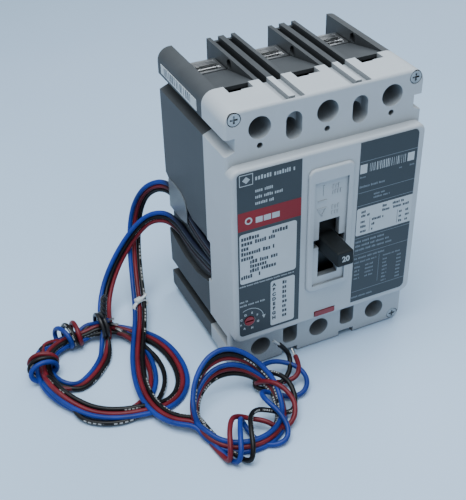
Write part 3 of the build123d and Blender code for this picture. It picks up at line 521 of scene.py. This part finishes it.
# The side coil's three turns, as the middle of each bundle of three leads, in x and depth.
SIDE_EYE = (-120.0, 43.0)
TIGHT_RADIUS = 22.6
SIDE_LIFT = 2.3
SIDE_TURNS = [
    [(-105.4, 32.4), (-108.8, 40.0), (-114.2, 46.6), (-120.6, 52.2), (-127.6, 56.0), (-134.4, 56.0),
     (-139.6, 51.4), (-142.3, 44.0), (-141.8, 35.8), (-138.2, 28.6), (-132.0, 23.2), (-123.8, 20.6),
     (-115.2, 20.8)],
    [(-106.6, 22.4), (-98.6, 25.6), (-92.4, 32.4), (-89.8, 42.6), (-89.0, 54.0), (-90.6, 65.4),
     (-95.6, 75.6), (-103.8, 82.4), (-113.4, 84.6), (-122.6, 81.8), (-130.4, 75.2), (-136.4, 66.6),
     (-140.6, 57.2), (-142.6, 47.2), (-142.0, 37.2), (-138.2, 28.6), (-131.6, 23.0), (-123.0, 20.5),
     (-114.2, 20.6)],
    [(-105.4, 21.8), (-96.0, 23.6), (-87.4, 28.4), (-80.8, 36.4), (-76.8, 46.4), (-75.4, 57.4),
     (-76.0, 68.6), (-79.2, 78.6), (-85.6, 85.8), (-94.4, 89.2), (-103.8, 89.0), (-112.8, 87.2),
     (-121.4, 83.6), (-129.4, 77.4), (-135.8, 68.8), (-140.4, 59.2), (-142.6, 49.2)],
]
# How far each lead stands off that line where the turns fan out.
SIDE_FANS = ({1: -2.5, -1: 0.0, 0: 2.5}, {1: 1.5, -1: -1.2, 0: 6.3}, {1: 2.6, -1: 0.0, 0: -2.6})


def bundle_points(bundle, place):
    step = place * LEAD_STEP
    return [at(x + step * sx, depth + step * sd, z + step * sz) for (x, depth, z), (sx, sd, sz) in bundle]


def strand_place(number, rows=(4, 3, 2), pitch=2.5):
    """Where one strand lies across a tight bundle: how far outwards, and how high."""
    row = 0
    while number >= rows[row]:
        number -= rows[row]
        row += 1
    return (number - (rows[row] - 1) / 2) * pitch, LEAD_DIAMETER / 2 + 0.1 + row * pitch * 0.87


def outward(points, number):
    """Square to a run of (x, depth) points, away from the middle of the coil."""
    before, after = points[max(0, number - 1)], points[min(len(points) - 1, number + 1)]
    along = Vector((after[0] - before[0], after[1] - before[1])).normalized()
    return Vector((along.y, -along.x))


def side_wrap(angle, points):
    """Round the tight bundle once, at an angle about the eye of the coil."""
    wrap_width, wrap_height, middle_height = 7.4, 5.6, 7.0
    start, swing_step, drift = -80, 30, 0.9     # in degrees; the drift carries the wrap along the coil
    for step in range(12):
        swing = math.radians(start + swing_step * step)
        turned = math.radians(angle + step * drift)
        radius = TIGHT_RADIUS + wrap_width * math.cos(swing)
        points.append(at(SIDE_EYE[0] + radius * math.cos(turned), SIDE_EYE[1] + radius * math.sin(turned),
                         middle_height + wrap_height * math.sin(swing)))


def side_turns(place):
    """Three turns round the eye of the side coil, then two wraps round its tight part."""
    order = {1: 0, 0: 1, -1: 2}[place]
    floor_height = 1.4                          # of a lead's middle where the turns lie spread out
    tight_from, tight_to = 17, 34               # distances from the eye between which the turns are bundled
    points = [at(-102.0 - place * 2.2, 24.0, 6.8)]
    for turn, centre_line in enumerate(SIDE_TURNS):
        across, up = strand_place(turn * 3 + order)
        for number, (x, depth) in enumerate(centre_line):
            reach = math.hypot(x - SIDE_EYE[0], depth - SIDE_EYE[1])
            tight = min(1, max(0, (reach - tight_from) / 3.5)) * min(1, max(0, (tight_to - reach) / 8))
            merged = min(1, max(0, (-90 - x) / 14)) if turn else 0
            side = lerp(SIDE_FANS[turn][place], across, tight)
            spread_height = floor_height + merged * (2.3 * (turn - 1) + 0.7 * (place == 0))
            z = lerp(spread_height, up + SIDE_LIFT, tight)
            x, depth = Vector((x, depth)) + side * outward(centre_line, number)
            points.append(at(x, depth, z))
    side_wrap(178 + (1 - place) * 9.0, points)
    outer_radius = 28.4                         # between the two wraps the lead lies outside the bundle
    for angle in (212, 228):
        turned = math.radians(angle + (1 - place) * 7.0)
        points.append(at(SIDE_EYE[0] + outer_radius * math.cos(turned),
                         SIDE_EYE[1] + outer_radius * math.sin(turned), 5.0))
    side_wrap(250 + (1 - place) * 9.5, points)
    for angle, radius, z in ((288, 29.5, 5.6), (306, 29.0, 7.4), (321, 26.5, 10.8 + 2.0 * place)):
        turned = math.radians(angle - 5 * place)
        points.append(at(SIDE_EYE[0] + radius * math.cos(turned), SIDE_EYE[1] + radius * math.sin(turned), z))
    return points


def front_turns(colour, place):
    """Two turns tilted up against the case, then the lead's own wraps and free end."""
    centre, round_radius, start_angle = (-62.5, 111.5), 21.5, 165
    back_rise, back_sink, widened = 11.6, 0.6, 1.06
    fan = {"blue": (6.5, 14.5), "red": (3.5, 9.0), "black": (0.0, 12.0)}[colour]
    order = {"black": 0, "red": 1, "blue": 2}[colour]
    points = []
    for number in range(2 * TURN_POINTS):
        angle = start_angle - number * 360 / TURN_POINTS
        turn = number // TURN_POINTS
        turned = math.radians(angle)
        across, up = strand_place(turn * 3 + order, (3, 2, 1))
        back = 0.5 - 0.5 * math.sin(turned)
        radius = round_radius + across * (1 - back) + 1.5 * back * (turn - 0.5)
        z = up + back_rise * back ** 2 + fan[turn] * back ** 3 - up * back_sink * back
        stretch = 1.0 if math.sin(turned) > 0 else widened
        x = centre[0] + radius * stretch * math.cos(turned)
        points.append(at(x, centre[1] + radius * math.sin(turned), z))
    return points + [at(*point) for point in FRONT_ENDS[colour]]


def lead_material(name, color, printed=False):
    material, tree, surface = shader(name, color, 0.38, Specular_IOR_Level=0.25)
    noise = object_noise(tree, 900, 3)
    wear = object_noise(tree, 60, 3)
    tint(tree, surface, wear.outputs["Fac"], tuple(c * 0.75 for c in color),
         tuple(min(1, c * 1.25) for c in color))
    roughness_from(tree, surface, wear.outputs["Fac"], 0.30, 0.46)
    bump(tree, surface, noise.outputs["Fac"], 0.25, 0.0001)
    # painted shade: the leads are darkened almost to black where they lie deep in the trough of the case
    position = add_node(tree, "ShaderNodeTexCoord").outputs["Object"]
    place = add_node(tree, "ShaderNodeSeparateXYZ", {"Vector": position})
    sunk = add_node(tree, "ShaderNodeMapRange", {"Value": place.outputs["X"], "From Min": -0.0550,
                                                 "From Max": -0.0522, "To Max": 0.92})
    high = add_node(tree, "ShaderNodeMapRange", {"Value": place.outputs["Z"], "From Min": 0.030,
                                                 "From Max": 0.040})
    share = calculate(tree, "MULTIPLY", sunk.outputs[0], high.outputs[0])
    lay_over(tree, surface, share, (0.011, 0.013, 0.016))
    if printed:
        # rows of short grey ticks along the lead, on two opposite sides of it
        unrolled = add_node(tree, "ShaderNodeTexCoord").outputs["UV"]
        along = add_node(tree, "ShaderNodeSeparateXYZ", {"Vector": unrolled})
        length, around = along.outputs["X"], along.outputs["Y"]
        marks = 1.0
        for repeats, filled in ((430.0, 0.62), (71.0, 0.72), (9.0, 0.68)):
            part = calculate(tree, "FRACT", calculate(tree, "MULTIPLY", length, repeats))
            marks = calculate(tree, "MULTIPLY", marks, calculate(tree, "LESS_THAN", part, filled))
        sides = calculate(tree, "FRACT", calculate(tree, "MULTIPLY", around, 2.0))
        off_centre = calculate(tree, "ABSOLUTE", calculate(tree, "SUBTRACT", sides, 0.5))
        marks = calculate(tree, "MULTIPLY", marks, calculate(tree, "LESS_THAN", off_centre, 0.11))
        lay_over(tree, surface, marks, (0.36, 0.37, 0.37))
    return material


def tube_curve(name, radius, roundness, material):
    """A curve, still empty, that is drawn as a capped tube with a radius in millimetres."""
    curve = bpy.data.curves.new(name, "CURVE")
    curve.dimensions = "3D"
    curve.bevel_depth = radius * MM
    curve.bevel_resolution = roundness
    curve.use_fill_caps = True
    curve.materials.append(material)
    return curve


def add_run(curve, points, resolution):
    """One smooth open run along the points."""
    spline = curve.splines.new("NURBS")
    spline.points.add(len(points) - 1)
    for control, point in zip(spline.points, points):
        control.co = (*point, 1)
    spline.order_u = 3
    spline.use_endpoint_u = True
    spline.resolution_u = resolution


def make_cord(name, points, material):
    curve = tube_curve(name, LEAD_DIAMETER / 2, 4, material)
    add_run(curve, points, 6)
    cord = bpy.data.objects.new(name, curve)
    bpy.context.scene.collection.objects.link(cord)
    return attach(cord, "case")


def make_leads():
    nylon = moulded("white_nylon", (0.60, 0.64, 0.66), (0.25, 0.4), 0.05, 0.15, Subsurface_Weight=0.1)
    vinyl = moulded("black_vinyl", (0.010, 0.010, 0.012), (0.3, 0.45), 0.2, 0.3)
    tinned = metal("tinned_strands", (0.66, 0.66, 0.64), (0.25, 0.4))
    ties = {("front", "red"): make_white_tie(nylon), ("side", "black"): make_black_tie(vinyl)}
    colours = {"blue": lead_material("blue_insulation", (0.009, 0.032, 0.215)),
               "red": lead_material("red_insulation", (0.135, 0.010, 0.018)),
               "black": lead_material("black_insulation", (0.004, 0.004, 0.005), printed=True)}
    for bundle, coil, places in (("front", "coil_front", {"blue": 1, "red": 0, "black": -1}),
                                 ("side", "coil_side", {"blue": 1, "black": 0, "red": -1})):
        for colour, place in places.items():
            if bundle == "front":
                points = bundle_points(BUNDLE_FRONT, place) + front_turns(colour, place)
            else:
                points = bundle_points(BUNDLE_SIDE, place) + side_turns(place)
            node = f"lead_{bundle}_{colour}"
            cord = make_cord(f"switch_lead_{bundle}_{colour}", points, colours[colour])
            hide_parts(node, coil)
            tip = make_bare_end(f"bare_end_{bundle}_{colour}", points[-1], points[-2], tinned)


# ---- ties and stripped ends ----
def frame_at(middle, along, across):
    """A local frame: across, the other way across, and along."""
    along = Vector(along).normalized()
    across = (Vector(across) - Vector(across).dot(along) * along).normalized()
    turned = Matrix((across, along.cross(across), along)).transposed()
    return Matrix.Translation(middle) @ turned.to_4x4()


def loft(name, rings, material, closed=False):
    """A closed skin over rings of points; a closed loft joins its last ring to its first."""
    mesh = bmesh.new()
    loops = [[mesh.verts.new(point) for point in ring] for ring in rings]
    pairs = list(zip(loops, loops[1:])) + ([(loops[-1], loops[0])] if closed else [])
    for before, after in pairs:
        for number in range(len(before)):
            other = (number + 1) % len(before)
            mesh.faces.new((before[number], before[other], after[other], after[number]))
    if not closed:
        mesh.faces.new(list(reversed(loops[0])))
        mesh.faces.new(loops[-1])
    bmesh.ops.recalc_face_normals(mesh, faces=mesh.faces)
    data = mesh_data(name, mesh, material)
    for face in data.polygons:
        face.use_smooth = True
    return show(name, data)


def make_white_tie(nylon):
    """A ribbed nylon tie round three leads, its square head to one side and its tail cut short."""
    place = frame_at(at(-79.6, 17.4, 10.3), (-0.36, 0.9, -0.3), (1, 0.2, 0))
    half_width, half_height = 4.3, 2.0     # of the hole that the three leads pass through
    rings = []
    steps = 96
    for step in range(steps):
        angle = math.tau * step / steps
        rib = 0.12 if step % 2 else 0.0
        ring = []
        for out, along in ((0.0, -1.25), (0.0, 1.25), (0.75 + rib, 1.15), (0.75 + rib, -1.15)):
            x, y = (half_width + out) * math.cos(angle), (half_height + out) * math.sin(angle)
            ring.append(place @ (Vector((x, y, along)) * MM))
        rings.append(ring)
    band = loft("white_tie_band", rings, nylon, closed=True)
    outline = rounded_bar(-2.1, 2.1, -1.9, 1.9, 0.5)
    head_rings = [[place @ (Vector((x * share, rise, z * share)) * MM) for x, z in outline]
                  for rise, share in ((-4.6, 0.82), (-4.3, 1.0), (-2.6, 1.0), (-2.2, 0.9))]
    head = loft("white_tie_head", head_rings, nylon)
    tail_section = ((-0.4, -1.1), (-0.4, 1.1), (0.4, 1.1), (0.4, -1.1))
    tail_rings = [[place @ (Vector((x, y + bend, z)) * MM) for y, z in tail_section]
                  for x, bend in ((1.6, -3.4), (3.0, -3.5), (4.4, -3.9), (5.4, -4.6))]
    tail = loft("white_tie_tail", tail_rings, nylon)
    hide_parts("wire_tie_white")
    return [band, head, tail]


def make_black_tie(vinyl):
    """Black wire looped twice round the tight bundle, its two ends twisted into an upright tail."""
    loop_steps, tail_steps = 18, 14
    loop_radius, wire_gap = 7.0, 2.3            # of a loop in depth, and from one loop to the next
    twist_radius, twist_step, tail_height = 0.95, 62, 13.0
    curve = tube_curve("black_tie", 1.1, 3, vinyl)
    for strand in (0, 1):
        points = []
        for step in range(loop_steps):
            angle = math.radians(-60 + 300 * step / (loop_steps - 1))
            x = -105.6 + strand * wire_gap + 0.5 * math.cos(angle)
            points.append(at(x, 22.6 + loop_radius * math.cos(angle), 8.4 + 7.2 * math.sin(angle)))
        for step in range(1, tail_steps + 1):
            twist = math.radians(step * twist_step + 180 * strand)
            rise = step / tail_steps
            x = -103.6 + 2.6 * rise + twist_radius * math.cos(twist)
            depth = 24.4 - 1.6 * rise + twist_radius * math.sin(twist)
            points.append(at(x, depth, 15.2 + tail_height * rise))
        add_run(curve, points, 4)
    tie = show("black_wire_tie", curve)
    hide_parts("wire_tie_black")
    return [tie]


def make_bare_end(name, end, before, material):
    """Seven tinned strands, twisted together, where the insulation is stripped back."""
    place = frame_at(end, end - before, (0.3, 0.2, 1.0))
    curve = tube_curve(name, 0.22, 2, material)
    strands, steps = 7, 12
    strand_length, hidden_length = 5.6, 0.6     # how long a strand is, and how much is in the insulation
    for strand in range(strands):
        is_core = strand == strands - 1
        spline = curve.splines.new("POLY")
        spline.points.add(steps)
        for step, control in enumerate(spline.points):
            angle = math.radians(60 * strand + 26 * step)
            spread = 0.0 if is_core else 0.42 + 0.12 * (step / steps) ** 3
            along = -hidden_length + strand_length * step / steps
            point = Vector((spread * math.cos(angle), spread * math.sin(angle), along))
            control.co = (*(place @ (point * MM)), 1)
    return show(name, curve)


# ---- stage ----
FLOOR_SIZE = 6
SKY_COLOUR = (0.86, 0.93, 1.0, 1)
SKY_STRENGTH = 0.36
LIGHT_COLOUR = (0.885, 0.95, 1.0)
LIGHTS_AIM = Vector((0, 0, 0.06))
# Each light's name, its place and size in metres, and its power in watts.
LIGHTS = (
    ("key", (-0.15, -0.12, 0.95), 0.7, 12),
    ("fill", (-0.2, -1.1, 0.9), 0.9, 1.8),
    ("side", (-1.0, 0.1, 0.7), 0.7, 1.4),
    ("rim", (0.7, 0.5, 0.7), 0.6, 3),
)


def make_stage():
    material, tree, surface = shader("pale_table", (0.50, 0.67, 0.88), 0.6)
    noise = object_noise(tree, 2.4, 3)
    tint(tree, surface, noise.outputs["Fac"], (0.475, 0.65, 0.86), (0.515, 0.69, 0.90), (0.3, 0.7))
    paper = object_noise(tree, 700, 3)
    bump(tree, surface, paper.outputs["Fac"], 0.15, 0.0001)
    bpy.ops.mesh.primitive_plane_add(size=FLOOR_SIZE)
    floor = bpy.context.object
    floor.name = "floor"
    floor.data.materials.append(material)


def make_lights():
    world = bpy.data.worlds.new("studio")
    bpy.context.scene.world = world
    world.use_nodes = True
    world.node_tree.nodes["Background"].inputs["Color"].default_value = SKY_COLOUR
    world.node_tree.nodes["Background"].inputs["Strength"].default_value = SKY_STRENGTH
    for name, place, size, power in LIGHTS:
        light = bpy.data.objects.new(name, bpy.data.lights.new(name, "AREA"))
        light.data.size = size
        light.data.energy = power
        light.data.color = LIGHT_COLOUR
        light.location = place
        light.rotation_euler = (LIGHTS_AIM - Vector(place)).to_track_quat("-Z", "Y").to_euler()
        bpy.context.scene.collection.objects.link(light)


make_camera()
make_leads()
finish_nodes()
make_graphics()
make_stage()
make_lights()
